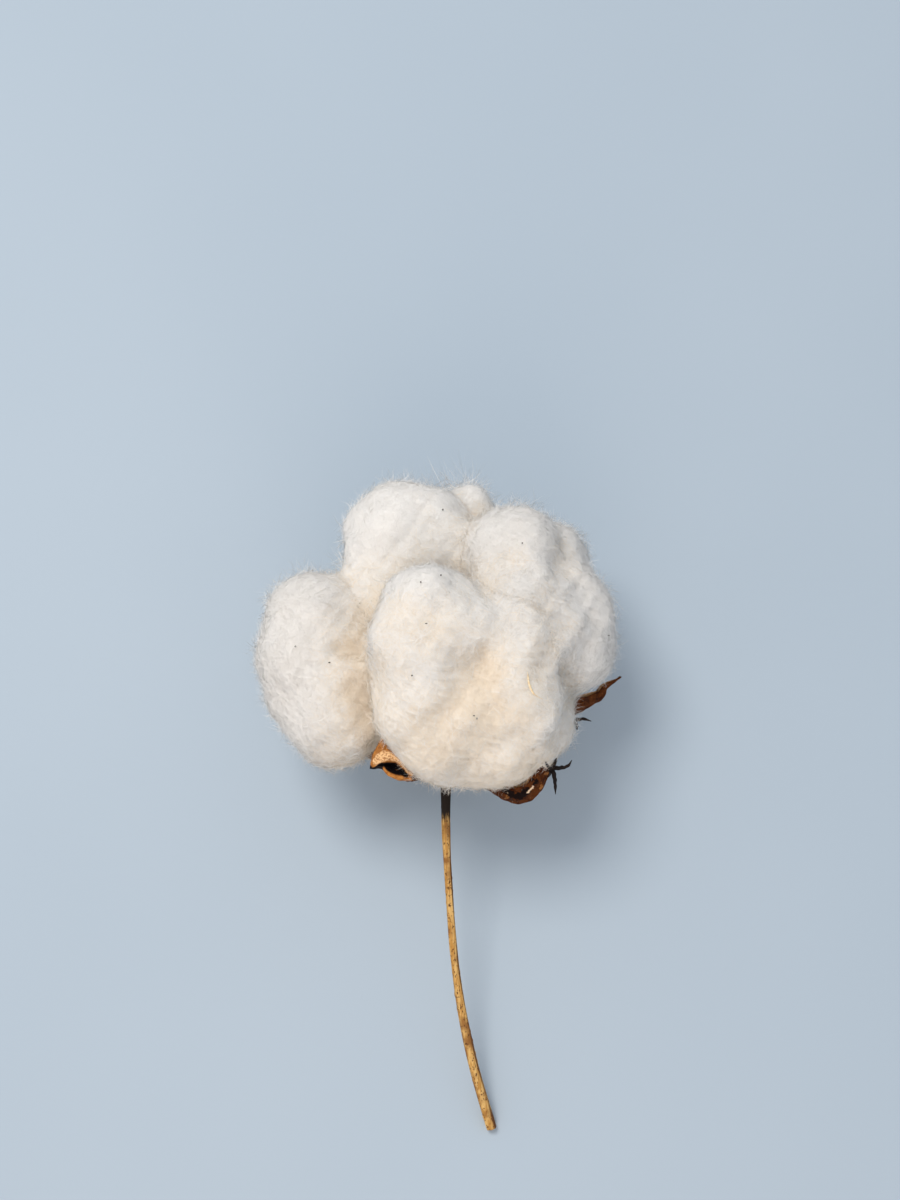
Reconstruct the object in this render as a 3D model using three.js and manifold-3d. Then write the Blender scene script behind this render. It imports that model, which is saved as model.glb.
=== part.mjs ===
// A picked cotton boll lying on its side: five locks of lint standing in an open, dried bur,
// with the withered bracts below it and the cut stalk that it grew on.
// Sizes are in millimetres. Everything is first placed in the boll's own frame, in which +Y runs
// up the boll's axis from the foot of the lint, +X is its right and +Z its upper side as it lies.
// A heading is a turn about that axis in degrees: 0 is +X, and 90 is +Z.
import * as THREE from "three";
import { mergeVertices } from "three/addons/utils/BufferGeometryUtils.js";
import Module from "manifold-3d";

const wasm = await Module();
wasm.setup();

// How the boll lies: its axis rises from the stalk's cut end, and the lint is pressed flat below.
const LIE_TILT = THREE.MathUtils.degToRad(15);
const FOOT_HEIGHT = 24.5; // the foot of the lint above the table

// The clearances between pieces.
const GAP = 0.3; // between the stalk's top and the receptacle
const CLEARANCE = 0.45; // by which a piece is grown where another is cut to clear it
const LOCK_GAP = 0.9; // between neighbouring locks, whose lint meets there

// The stalk: its length below the lint, and its radius and its bend by evenly spaced stations
// from its top to its cut end.
const STALK_LENGTH = 75;
const STALK_TOP = 3.2;
const STALK_RADII = [1.3, 0.94, 0.75, 0.73, 0.82, 0.95, 1.0, 1.02, 1.08];
const STALK_SIDE = [0, 0.1, 0.8, 1.8, 3.6, 6.4, 10];
const STALK_DROP = [0, 0, -0.2, -0.6, -1.3, -2.5, -4.1];

// The receptacle: the woody knob on which the bur stands, with the dried cup of the calyx.
const RECEPTACLE_RADIUS = 4.6;
const RECEPTACLE_HEIGHT = 4.4;
const RECEPTACLE_FOOT = STALK_TOP + GAP;

// The bur's five valves: boat-shaped woody walls that opened outwards between the locks. Each rib
// runs from the receptacle through [out, up, side] stations to its pointed tip. Cup is the share of
// the full cup that a valve keeps, and roll is its turn about its rib in degrees.
const VALVE_THICKNESS = 0.55; // half of the wall
const VALVE_CUPS = [0.4, 2.6, 4.2, 3.8, 1.8, 0]; // how far the rims stand over the rib, at most
const WIDE_VALVE = [1.8, 6, 8.6, 8.2, 5.6, 0.5]; // half widths from root to tip
const BLUNT_VALVE = [1.8, 6, 8.6, 8.2, 5.8, 2.2, 1];
const NARROW_VALVE = [1.8, 3.8, 4.8, 4.6, 3.2, 0.4];
const SMALL_VALVE = [2, 3, 3.2, 2.8, 1.8, 0.4];
const VALVES = [
  {
    name: "valve_front_right",
    heading: 28,
    roll: 6,
    cup: 0.8,
    widths: NARROW_VALVE,
    rib: [
      [5.6, 5.2], [11, 1], [16.4, -1, -0.5], [20.8, 0, -1.2], [23.8, 3.4, -2.6], [25.2, 7, -4.4],
      [25.1, 9.7, -5.4],
    ],
  },
  {
    name: "valve_right",
    heading: -14,
    roll: 12,
    cup: 0.9,
    widths: BLUNT_VALVE,
    rib: [
      [5.6, 6], [13, 7], [20, 11], [27, 14.9], [32.6, 17.9], [35.2, 19.2], [36.4, 21.4],
      [39.6, 23.6],
    ],
  },
  {
    name: "valve_back",
    heading: -95,
    roll: 0,
    cup: 1,
    widths: WIDE_VALVE,
    rib: [[5.6, 5.2], [12, 2.6], [19, 6], [24.5, 15], [27.5, 24]],
  },
  {
    name: "valve_left",
    heading: -164,
    roll: 0,
    cup: 1,
    widths: WIDE_VALVE,
    rib: [[5.6, 5.4], [12, 4.6], [18, 7.6], [23, 12.4], [26, 18.5]],
  },
  {
    name: "valve_front_left",
    heading: 122,
    roll: 0,
    cup: 0.6,
    widths: SMALL_VALVE,
    rib: [[5.6, 5.4], [10, 4.2], [14, 4], [17.4, 5], [19, 6.6]],
  },
];

// The bracts: withered leaves under the bur, each a narrow blade that ends in a few long teeth.
// The blade and the teeth follow [heading, out, up] stations.
const BRACT_THICKNESS = 0.3; // half of the blade
const BRACT_FOLD = 0.25; // how deep the blade folds along its midrib, as a share of its half width
const TOOTH_RADII = [0.78, 0.54, 0.42, 0.12];
const BRACTS = [
  {
    name: "bract_right",
    blade: [
      [12, 4.6, 2.4], [4, 12, -0.4], [8, 18, 0.8], [14, 22.4, 3.8], [22.5, 23.6, 5.6],
      [29, 24.8, 6.4],
    ],
    widths: [1.3, 3, 3, 2, 1.3, 0.8],
    teeth: [
      [[28.9, 24.8, 6.4], [27.7, 27.1, 6.5], [26.7, 28.5, 7], [25.6, 29.1, 8.1]],
      [[28.8, 24.9, 6.4], [29.7, 25.9, 5.2], [29.8, 26.2, 3.4], [28.8, 26.1, 1]],
      [[28.9, 24.8, 6.3], [30.4, 26.1, 7.4], [33.2, 27.4, 8.8]],
      [[28.7, 25, 6.2], [36.4, 26.1, 7.3], [40.5, 27, 8.3]],
    ],
  },
  {
    name: "bract_right_small",
    blade: [[2, 5.2, 3.4], [4, 13, 3.4], [6, 20.5, 6.4], [6, 26.6, 14]],
    widths: [1.1, 2.4, 2.2, 0.8],
    teeth: [
      [[6, 26.2, 13.6], [6, 27.8, 15.2], [6, 29.4, 15.7], [6, 31.2, 15.2]],
      [[6, 26.8, 14.2], [6, 27.9, 14.6], [6, 28.2, 13.3]],
    ],
  },
  {
    name: "bract_back",
    blade: [[-100, 4.4, 2.2], [-100, 10, 0.2], [-100, 16, 0.8], [-101, 21, 4.6]],
    widths: [1.4, 3.6, 4, 1.8],
    teeth: [
      [[-101, 20, 3.8], [-97, 23, 6], [-95, 25, 9]],
      [[-101, 20, 3.8], [-104, 23.6, 5], [-107, 25.4, 8.4]],
    ],
  },
];

// The locks: five uneven masses of lint. Each is a blend of soft puffs, placed by their height up
// the axis, their distance out from it and their sideways offset on the lock's heading.
const PUFF_BLEND = 1.8; // how softly two puffs run together
const UNEVENNESS = 0.7; // height of the lumps in a lock's surface
const LOCK_DETAIL = 5;
const LOCKS = [
  {
    name: "lock_front",
    heading: 85,
    puffs: [
      { up: 39.8, out: 17.6, side: -5.7, radius: 9.2 },
      { up: 31.9, out: 18.6, side: -8, radius: 9.4 },
      { up: 20.7, out: 17.4, side: -7.4, radius: 9.2 },
      { up: 15.6, out: 15.7, side: -4.6, radius: 8.6 },
      { up: 11.7, out: 14.3, side: -1.8, radius: 8.8 },
      { up: 32.7, out: 14.5, side: 11.3, radius: 9.8 },
      { up: 20.3, out: 16.4, side: 12.5, radius: 10.6 },
      { up: 10.7, out: 14.4, side: 10.1, radius: 8.6 },
      { up: 22.7, out: 17, side: 1.9, radius: 9.4 },
      { up: 14.6, out: 10.8, side: 20.2, radius: 5.7 },
      { up: 13.1, out: 13.4, side: 15, radius: 6.6 },
      { up: 35.3, out: 15.8, side: 2, radius: 9.2 },
    ],
  },
  {
    name: "lock_right",
    heading: 8,
    puffs: [
      { up: 50.4, out: 14.2, side: 0.5, radius: 10.6 },
      { up: 48.5, out: 21.4, side: 9.6, radius: 9 },
      { up: 38.3, out: 26, side: 3.6, radius: 9.4 },
      { up: 30, out: 27.1, side: 2.8, radius: 8.8 },
      { up: 39.1, out: 15.7, side: -5.4, radius: 10.6 },
      { up: 32.4, out: 21.1, side: -4.6, radius: 9.4 },
      { up: 18, out: 19.1, side: 3.7, radius: 7.6 },
    ],
  },
  {
    name: "lock_back_right",
    heading: -59,
    puffs: [
      { up: 60.8, out: 11.2, side: 0.8, radius: 5.2 },
      { up: 50, out: 14, side: 1, radius: 9 },
      { up: 42, out: 18, side: 1, radius: 13 },
      { up: 27, out: 22.5, side: -1, radius: 14.8 },
      { up: 12, out: 17, side: 0, radius: 10.5 },
    ],
  },
  {
    name: "lock_back_left",
    heading: -131,
    puffs: [
      { up: 54.4, out: 10.3, side: 4.2, radius: 11.8 },
      { up: 55.1, out: 6.4, side: -0.2, radius: 9.4 },
      { up: 46.9, out: 9.7, side: 9.7, radius: 8.2 },
      { up: 42, out: 12.5, side: -1, radius: 10 },
      { up: 39.3, out: 8.4, side: 13.5, radius: 7 },
      { up: 50.5, out: 0.9, side: -4.3, radius: 6.6 },
      { up: 29, out: 24, side: 0, radius: 15.2 },
      { up: 15, out: 17, side: 1, radius: 10.6 },
    ],
  },
  {
    name: "lock_left",
    heading: 165,
    puffs: [
      { up: 37.3, out: 27.8, side: -3.3, radius: 9.6 },
      { up: 29.2, out: 29.2, side: -2.7, radius: 11 },
      { up: 26.7, out: 21.9, side: -0.7, radius: 11.3 },
      { up: 17, out: 23.5, side: -0.1, radius: 11.1 },
      { up: 20, out: 29.5, side: -3.8, radius: 7 },
    ],
  },
];

const WOOD = { color: 0x6b3a1e, roughness: 0.75, metalness: 0 };
const DRY_LEAF = { color: 0x2a1a12, roughness: 0.85, metalness: 0 };
const STRAW = { color: 0xc08a3e, roughness: 0.7, metalness: 0 };
const LINT = { color: 0xf6f1e8, roughness: 0.95, metalness: 0 };

const MERGE_DISTANCE = 1e-4;

// The directions straight out from the boll's axis and across it, at a heading.
function outward(heading) {
  const angle = THREE.MathUtils.degToRad(heading);
  return new THREE.Vector3(Math.cos(angle), 0, Math.sin(angle));
}

function sideways(heading) {
  const angle = THREE.MathUtils.degToRad(heading);
  return new THREE.Vector3(Math.sin(angle), 0, -Math.cos(angle));
}

// A point given by its distance out from the axis, its height up it and its offset to one side.
function aroundAxis(heading, out, up, side = 0) {
  return outward(heading)
    .multiplyScalar(out)
    .addScaledVector(sideways(heading), side)
    .setY(up);
}

// A value read off evenly spaced stations along a length.
function between(stations, t) {
  const place = THREE.MathUtils.clamp(t, 0, 1) * (stations.length - 1);
  const i = Math.min(Math.floor(place), stations.length - 2);
  return THREE.MathUtils.lerp(stations[i], stations[i + 1], THREE.MathUtils.smoothstep(place - i, 0, 1));
}

// A closed solid swept along a curve. section(t, angle) gives the outline's point at a share t of
// the length, as [across, through], where across lies along the frame's normal. A margin pushes
// both ends out along the curve.
function sweep(curve, section, sides, rings, across, margin) {
  const geometry = new THREE.CylinderGeometry(1, 1, 1, sides, rings);
  const position = geometry.getAttribute("position");
  const vertex = new THREE.Vector3();
  for (let i = 0; i < position.count; i += 1) {
    vertex.fromBufferAttribute(position, i);
    const t = THREE.MathUtils.clamp(vertex.y + 0.5, 0, 1);
    const tangent = curve.getTangentAt(t);
    const normal = across.clone().addScaledVector(tangent, -across.dot(tangent)).normalize();
    const binormal = new THREE.Vector3().crossVectors(normal, tangent);
    const onRim = Math.hypot(vertex.x, vertex.z) > 0.5;
    const [wide, deep] = onRim ? section(t, Math.atan2(vertex.z, vertex.x)) : [0, 0];
    const at = curve.getPointAt(t).addScaledVector(normal, wide).addScaledVector(binormal, deep);
    if (t === 0 || t === 1) at.addScaledVector(tangent, t === 0 ? -margin : margin);
    position.setXYZ(i, at.x, at.y, at.z);
  }
  return geometry;
}

// A limb of round section whose radius follows the given stations from its root to its tip.
function taperedLimb(points, radii, sides, rings, margin) {
  const curve = new THREE.CatmullRomCurve3(points);
  const round = (t, angle) => {
    const radius = between(radii, t) + margin;
    return [radius * Math.cos(angle), radius * Math.sin(angle)];
  };
  return sweep(curve, round, sides, rings, new THREE.Vector3(0, 0, 1), margin);
}

// Turns a geometry into a solid that can be cut and joined, and back.
function toSolid(geometry) {
  const bare = geometry.clone();
  bare.deleteAttribute("normal");
  bare.deleteAttribute("uv");
  const merged = mergeVertices(bare, MERGE_DISTANCE);
  return new wasm.Manifold(
    new wasm.Mesh({
      numProp: 3,
      vertProperties: new Float32Array(merged.getAttribute("position").array),
      triVerts: new Uint32Array(merged.index.array),
    }),
  );
}

function toGeometry(solid) {
  const mesh = solid.getMesh();
  const geometry = new THREE.BufferGeometry();
  geometry.setAttribute("position", new THREE.BufferAttribute(mesh.vertProperties, 3));
  geometry.setIndex(new THREE.BufferAttribute(mesh.triVerts, 1));
  geometry.computeVertexNormals();
  return geometry;
}

// The largest body of a solid, once the cuts have left crumbs round it.
function largestBody(solid) {
  return solid.decompose().reduce((best, body) => (body.volume() > best.volume() ? body : best));
}

// The stalk, straight under the boll and bent aside and down to the table lower on.
function stalkSolid(margin) {
  const last = STALK_SIDE.length - 1;
  const points = STALK_SIDE.map((side, i) => {
    const y = THREE.MathUtils.lerp(STALK_TOP, -STALK_LENGTH, i / last);
    return new THREE.Vector3(side, y, STALK_DROP[i]);
  });
  return toSolid(taperedLimb(points, STALK_RADII, 10, 28, margin));
}

// The receptacle is turned round the axis: a flat foot, a swelling side and a flat top.
function receptacleSolid(margin) {
  const rim = RECEPTACLE_RADIUS + margin;
  const foot = RECEPTACLE_FOOT - margin;
  const top = RECEPTACLE_FOOT + RECEPTACLE_HEIGHT + margin;
  const profile = [
    [0, 0],
    [0.42, 0],
    [0.82, 0.3],
    [1, 0.62],
    [0.8, 0.9],
    [0, 1],
  ].map(([wide, high]) => new THREE.Vector2(wide * rim, THREE.MathUtils.lerp(foot, top, high)));
  return toSolid(new THREE.LatheGeometry(profile, 18));
}

// A valve's section is a shallow arc across its rib, so that its rims stand round the lint.
function valveSolid({ heading, roll, cup, widths, rib }, margin) {
  const stations = rib.map(([out, up, side]) => aroundAxis(heading, out, up, side));
  const curve = new THREE.CatmullRomCurve3(stations);
  const turn = THREE.MathUtils.degToRad(roll);
  const boat = (t, angle) => {
    const half = between(widths, t);
    const wide = (half + margin) * Math.cos(angle);
    const wall = VALVE_THICKNESS * Math.min(1, half / 2) + margin;
    const deep = wall * Math.sin(angle) - cup * between(VALVE_CUPS, t) * (wide / half) ** 2;
    return [
      wide * Math.cos(turn) - deep * Math.sin(turn),
      wide * Math.sin(turn) + deep * Math.cos(turn),
    ];
  };
  return toSolid(sweep(curve, boat, 12, 12, sideways(heading), margin));
}

// A bract is its folded blade with its teeth joined to it.
function bractSolid({ blade, widths, teeth }, margin) {
  const stations = (list) => list.map(([heading, out, up]) => aroundAxis(heading, out, up));
  const curve = new THREE.CatmullRomCurve3(stations(blade));
  const leaf = (t, angle) => {
    const half = between(widths, t);
    const wide = (half + margin) * Math.cos(angle);
    const fold = BRACT_FOLD * half * (wide / half) ** 2;
    return [wide, (BRACT_THICKNESS + margin) * Math.sin(angle) - fold];
  };
  const bladeHeading = blade[0][0];
  return teeth.reduce(
    (solid, tooth) => solid.add(toSolid(taperedLimb(stations(tooth), TOOTH_RADII, 5, 5, margin))),
    toSolid(sweep(curve, leaf, 8, 8, sideways(bladeHeading), margin)),
  );
}

// For each lock, how far a point lies outside its surface, or inside it when negative.
const lockFields = LOCKS.map(({ heading, puffs }, lock) => {
  const centres = puffs.map(({ up, out, side }) => aroundAxis(heading, out, up, side));
  return (point) => {
    const reach = (centre, i) => Math.exp((puffs[i].radius - centre.distanceTo(point)) / PUFF_BLEND);
    const total = centres.reduce((sum, centre, i) => sum + reach(centre, i), 0);
    const lumps =
      Math.sin(0.34 * point.x + lock) *
      Math.sin(0.3 * point.y + 2 * lock) *
      Math.sin(0.32 * point.z + 3 * lock);
    return UNEVENNESS * lumps - PUFF_BLEND * Math.log(total);
  };
});

const tableNormal = new THREE.Vector3(0, Math.sin(LIE_TILT), Math.cos(LIE_TILT));

// Whether a point belongs to a lock: inside its lint, nearer to it than to any other, and over
// the table, which the boll's weight presses it against.
function inLock(lock, point) {
  const depth = lockFields[lock](point);
  if (depth > 0 || point.dot(tableNormal) < -FOOT_HEIGHT) return false;
  return lockFields.every((field, other) => other === lock || field(point) - depth > LOCK_GAP);
}

// A lock's surface is found by going out from the middle of its puffs in every direction.
function lockSolid(lock) {
  const { heading, puffs } = LOCKS[lock];
  const total = puffs.reduce((sum, { radius }) => sum + radius ** 3, 0);
  const middle = new THREE.Vector3();
  puffs.forEach(({ up, out, side, radius }) => {
    middle.addScaledVector(aroundAxis(heading, out, up, side), radius ** 3 / total);
  });
  const geometry = new THREE.IcosahedronGeometry(1, LOCK_DETAIL);
  const position = geometry.getAttribute("position");
  const stride = 0.5;
  const halvings = 12;
  for (let i = 0; i < position.count; i += 1) {
    const direction = new THREE.Vector3().fromBufferAttribute(position, i).normalize();
    const along = (reach) => middle.clone().addScaledVector(direction, reach);
    let inside = 0;
    while (inLock(lock, along(inside + stride))) inside += stride;
    let outside = inside + stride;
    for (let halving = 0; halving < halvings; halving += 1) {
      const halfway = (inside + outside) / 2;
      if (inLock(lock, along(halfway))) inside = halfway;
      else outside = halfway;
    }
    const surface = along(inside);
    position.setXYZ(i, surface.x, surface.y, surface.z);
  }
  return toSolid(geometry);
}

// Adds a piece cut clear of those fitted before it. The piece grown by the clearance then cuts
// the ones that come after it.
const boll = new THREE.Group();
const fitted = [];

function addPiece(name, look, solid, grown) {
  const clear = fitted.reduce((left, other) => left.subtract(other), solid);
  const mesh = new THREE.Mesh(toGeometry(largestBody(clear)), new THREE.MeshStandardMaterial(look));
  mesh.name = name;
  boll.add(mesh);
  if (grown) fitted.push(grown);
}

addPiece("stalk", STRAW, stalkSolid(0), stalkSolid(CLEARANCE));
addPiece("receptacle", WOOD, receptacleSolid(0), receptacleSolid(CLEARANCE));
VALVES.forEach((valve) => {
  addPiece(valve.name, WOOD, valveSolid(valve, 0), valveSolid(valve, CLEARANCE));
});
BRACTS.forEach((bract) => {
  addPiece(bract.name, DRY_LEAF, bractSolid(bract, 0), bractSolid(bract, CLEARANCE));
});
LOCKS.forEach(({ name }, lock) => {
  addPiece(name, LINT, lockSolid(lock));
});

// Lays the boll down, and puts the origin on the table under the middle of its box.
boll.rotation.x = LIE_TILT;
const part = new THREE.Group();
part.add(boll);
part.updateMatrixWorld(true);
const box = new THREE.Box3().setFromObject(part, true);
boll.position.set(-(box.min.x + box.max.x) / 2, -(box.min.y + box.max.y) / 2, -box.min.z);

export default part;
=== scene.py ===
import math

import bpy
import numpy as np
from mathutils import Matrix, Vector


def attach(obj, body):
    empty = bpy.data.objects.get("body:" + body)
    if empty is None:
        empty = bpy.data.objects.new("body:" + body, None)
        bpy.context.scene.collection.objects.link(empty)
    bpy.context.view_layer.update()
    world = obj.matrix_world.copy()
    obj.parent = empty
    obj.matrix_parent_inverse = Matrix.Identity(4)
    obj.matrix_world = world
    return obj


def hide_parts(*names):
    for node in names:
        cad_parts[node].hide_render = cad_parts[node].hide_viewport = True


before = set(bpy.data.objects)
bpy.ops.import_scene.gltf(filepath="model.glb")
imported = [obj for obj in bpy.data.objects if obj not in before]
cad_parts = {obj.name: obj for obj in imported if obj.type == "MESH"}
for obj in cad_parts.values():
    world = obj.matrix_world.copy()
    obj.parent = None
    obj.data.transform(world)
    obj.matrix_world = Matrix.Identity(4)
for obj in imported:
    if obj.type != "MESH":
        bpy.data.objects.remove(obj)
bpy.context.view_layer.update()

# The stalk is the dry stem that the boll grew on, cut off below. It is a tapered, gently bent rod of
# tough fibre under a thin straw-coloured skin, which is black with old sap close under the boll.
# Its relief of shallow grooves, knots and warts is worked out ring by ring along its middle line, and painted
# shade darkens it along one side.
MM = 0.001
LIE_TILT = math.radians(15)  # the boll's axis rises by this from the stalk's cut end
LINT_FOOT = np.array([0.709, 2.884, 24.5])  # where the foot of the lint lies in the frame, in mm
STALK_LENGTH = 75  # from the foot of the lint to the cut
STALK_TOP = 3.2  # its height above the foot of the lint
STALK_RADII = [1.12, 0.92, 0.75, 0.73, 0.8, 0.92, 0.97, 1.0, 1.06]
STALK_SIDE = [0, 0.1, 0.8, 1.8, 3.6, 6.4, 10]  # its bend to the right, at even steps down to the cut
STALK_DROP = [0, 0, -0.2, -0.6, -1.3, -2.5, -4.1]  # its bend down, at the same steps
GROOVES = 7
GROOVE_DEPTH = 0.06
WART_DEPTH = 0.12
RIDGE_HEADING = math.radians(-28)  # the side along which a low ridge runs, painted darker as the stalk's shaded side
RIDGE_REACH = 0.42  # to each side, in radians round the stalk
RIDGE_HEIGHT = 0.05
STALK_RINGS = 420
STALK_SIDES = 28
SPAN_STEPS = 40  # between two stations of a curve
UPWARD = np.array([0, 0, 1.0])

turn = np.array([
    [1, 0, 0],
    [0, math.cos(LIE_TILT), -math.sin(LIE_TILT)],
    [0, math.sin(LIE_TILT), math.cos(LIE_TILT)],
])


def lay(points):
    """Points of the boll's own frame, in mm, where they lie in the frame, in metres. In the boll's
    frame +Y runs up its axis from the foot of the lint, +X is its right and +Z its upper side."""
    return (np.asarray(points, float) @ turn.T + LINT_FOOT) * MM


def spline(stations, count):
    """Evenly spaced points on the smooth curve through the stations."""
    knots = np.asarray(stations, float)
    ends = np.vstack([2 * knots[0] - knots[1], knots, 2 * knots[-1] - knots[-2]])
    share = np.linspace(0, 1, SPAN_STEPS, endpoint=False)[:, None]
    spans = [
        b + (c - a) * share / 2 + (a - 2.5 * b + 2 * c - d / 2) * share**2
        + (1.5 * b - a / 2 - 1.5 * c + d / 2) * share**3
        for a, b, c, d in zip(ends, ends[1:], ends[2:], ends[3:])
    ]
    fine = np.vstack([*spans, knots[-1:]])
    steps = np.linalg.norm(np.diff(fine, axis=0), axis=1)
    length = np.concatenate([[0], np.cumsum(steps)])
    at = np.linspace(0, length[-1], count)
    return np.stack([np.interp(at, length, column) for column in fine.T], axis=1)


def between(stations, along):
    """Values read off evenly spaced stations along a length, eased from each to the next."""
    place = np.clip(along, 0, 1) * (len(stations) - 1)
    before = np.minimum(place.astype(int), len(stations) - 2)
    share = place - before
    values = np.asarray(stations, float)
    return values[before] + (values[before + 1] - values[before]) * share * share * (3 - 2 * share)


def frames_along(middle, across):
    """The normal nearest to across, and the binormal, at each point of a curve."""
    tangent = np.gradient(middle, axis=0)
    tangent /= np.linalg.norm(tangent, axis=1)[:, None]
    normal = across - (tangent @ across)[:, None] * tangent
    normal /= np.linalg.norm(normal, axis=1)[:, None]
    return normal, np.cross(normal, tangent)


def round_ring(sides):
    """Evenly spaced angles once round a ring."""
    return np.linspace(0, 2 * math.pi, sides, endpoint=False)


def swept(middle, normal, binormal, wide, deep):
    """Rings of points along a curve, from how far each point lies along the curve's two normals."""
    return middle[:, None] + normal[:, None] * wide[..., None] + binormal[:, None] * deep[..., None]


def ripple(points, size, seed):
    """Smooth uneven numbers from about -1 to 1 at the points, with lumps of the given size."""
    rng = np.random.default_rng(seed)
    waves = 12
    directions = rng.normal(size=(waves, points.shape[-1]))
    directions /= np.linalg.norm(directions, axis=1)[:, None]
    pitch = size * rng.uniform(0.6, 1.7, waves)
    phase = rng.uniform(0, 2 * math.pi, waves)
    return np.sin(points @ directions.T * (2 * math.pi / pitch) + phase).sum(-1) / math.sqrt(waves)


def skin(name, rings, material):
    """A closed mesh through rings of points, with its two ends closed by a fan to their middle."""
    count, sides = rings.shape[:2]
    points = np.vstack([rings.reshape(-1, 3), rings[0].mean(0), rings[-1].mean(0)])
    start = np.arange(count - 1)[:, None] * sides
    here = np.arange(sides)[None, :]
    after = (here + 1) % sides
    walls = np.stack([start + here, start + sides + here, start + sides + after, start + after], -1)
    foot, tip = count * sides, count * sides + 1
    last = (count - 1) * sides
    fans = [(foot, a, (a + 1) % sides) for a in range(sides)]
    fans += [(tip, last + (a + 1) % sides, last + a) for a in range(sides)]
    mesh = bpy.data.meshes.new(name)
    mesh.from_pydata(lay(points).tolist(), [], walls.reshape(-1, 4).tolist() + fans)
    mesh.polygons.foreach_set("use_smooth", [True] * len(mesh.polygons))
    mesh.materials.append(material)
    piece = bpy.data.objects.new(name, mesh)
    bpy.context.scene.collection.objects.link(piece)
    return piece


def note(piece, label, values):
    """Keeps a number for each point of the piece's mesh, under a label for its material to read."""
    kept = piece.data.attributes.new(label, "FLOAT", "POINT")
    kept.data.foreach_set("value", values.astype(np.float32))


def seat(piece, slot, *nodes):
    """The piece rides on the boll's one body and stands for the given nodes of the frame."""
    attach(piece, "root")
    if nodes:
        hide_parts(*nodes)


def add(tree, kind, inputs=None, **settings):
    """A node with its settings made, and its inputs set or linked, by name or by number."""
    made = tree.nodes.new(kind)
    for key, value in settings.items():
        setattr(made, key, value)
    for key, value in (inputs or {}).items():
        if isinstance(value, bpy.types.NodeSocket):
            tree.links.new(value, made.inputs[key])
        else:
            made.inputs[key].default_value = value
    return made


def new_material(name, **sockets):
    """A material with the given plain values on its shader: the material, its tree and shader."""
    material = bpy.data.materials.new(name)
    material.use_nodes = True
    shader = material.node_tree.nodes["Principled BSDF"]
    for key, value in sockets.items():
        shader.inputs[key.replace("_", " ")].default_value = value
    return material, material.node_tree, shader


def boll_place(tree, stretch=(1, 1, 1)):
    """Where a point of the surface is in the boll's own frame, in mm, stretched along its axes."""
    place = add(tree, "ShaderNodeTexCoord").outputs["Object"]
    lain = add(
        tree,
        "ShaderNodeMapping",
        {"Vector": place, "Location": LINT_FOOT * MM, "Rotation": (LIE_TILT, 0, 0), "Scale": (MM, MM, MM)},
        vector_type="TEXTURE",
    )
    return add(tree, "ShaderNodeMapping", {"Vector": lain.outputs[0], "Scale": stretch}).outputs[0]


def noise(tree, place, scale, detail=3, roughness=0.55):
    """Soft noise from 0 to 1 at a place in mm, in lumps to the mm."""
    return add(
        tree,
        "ShaderNodeTexNoise",
        {"Vector": place, "Scale": scale, "Detail": detail, "Roughness": roughness},
    ).outputs["Fac"]


def ramp(tree, value, low, high, from_colour, to_colour):
    """A colour that goes from one to the other while the value goes from low to high."""
    share = add(
        tree,
        "ShaderNodeMapRange",
        {"Value": value, "From Min": low, "From Max": high},
        interpolation_type="SMOOTHSTEP",
    ).outputs[0]
    mix = add(tree, "ShaderNodeMix", {0: share}, data_type="RGBA")
    for number, colour in ((6, from_colour), (7, to_colour)):
        if isinstance(colour, bpy.types.NodeSocket):
            tree.links.new(colour, mix.inputs[number])
        else:
            mix.inputs[number].default_value = (*colour, 1)
    return mix.outputs[2]


def relief(tree, shader, height, depth):
    """Fine relief on the shader's normal, from a height from 0 to 1 and its depth in mm."""
    bump = add(tree, "ShaderNodeBump", {"Height": height, "Distance": depth * MM, "Strength": 1})
    tree.links.new(bump.outputs[0], shader.inputs["Normal"])


STRAW = (0.5, 0.25, 0.06)
STRAW_PALE = (0.72, 0.45, 0.16)
STALK_BROWN = (0.12, 0.045, 0.014)
STALK_BLACK = (0.02, 0.012, 0.008)

stalk_skin, tree, shader = new_material("stalk_skin", Roughness=0.7, Specular_IOR_Level=0.2)
streaks = noise(tree, boll_place(tree, (1.6, 0.14, 1.6)), 1.3, 4)
freckles = noise(tree, boll_place(tree, (1, 0.55, 1)), 2.6, 2)
patches = noise(tree, boll_place(tree), 0.22, 2)
colour = ramp(tree, streaks, 0.4, 0.6, STRAW_PALE, STRAW)
colour = ramp(tree, patches, 0.45, 0.68, colour, (0.28, 0.12, 0.03))
colour = ramp(tree, freckles, 0.57, 0.65, colour, STALK_BROWN)
# Painted shade: the stalk is darkened along one side, where its low ridge runs.
painted_shade_side = add(tree, "ShaderNodeAttribute", attribute_name="painted_shade_side").outputs["Fac"]
colour = ramp(tree, painted_shade_side, 0.2, 0.8, colour, STALK_BROWN)
height_up = add(tree, "ShaderNodeSeparateXYZ", {0: boll_place(tree)}).outputs["Y"]
ragged = add(tree, "ShaderNodeMath", {0: streaks, 1: 5.0, 2: height_up}, operation="MULTIPLY_ADD").outputs[0]
colour = ramp(tree, ragged, -4.6, -2.2, colour, STALK_BLACK)
tree.links.new(colour, shader.inputs["Base Color"])
relief(tree, shader, noise(tree, boll_place(tree, (3, 0.5, 3)), 2.2, 5), 0.05)

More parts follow.
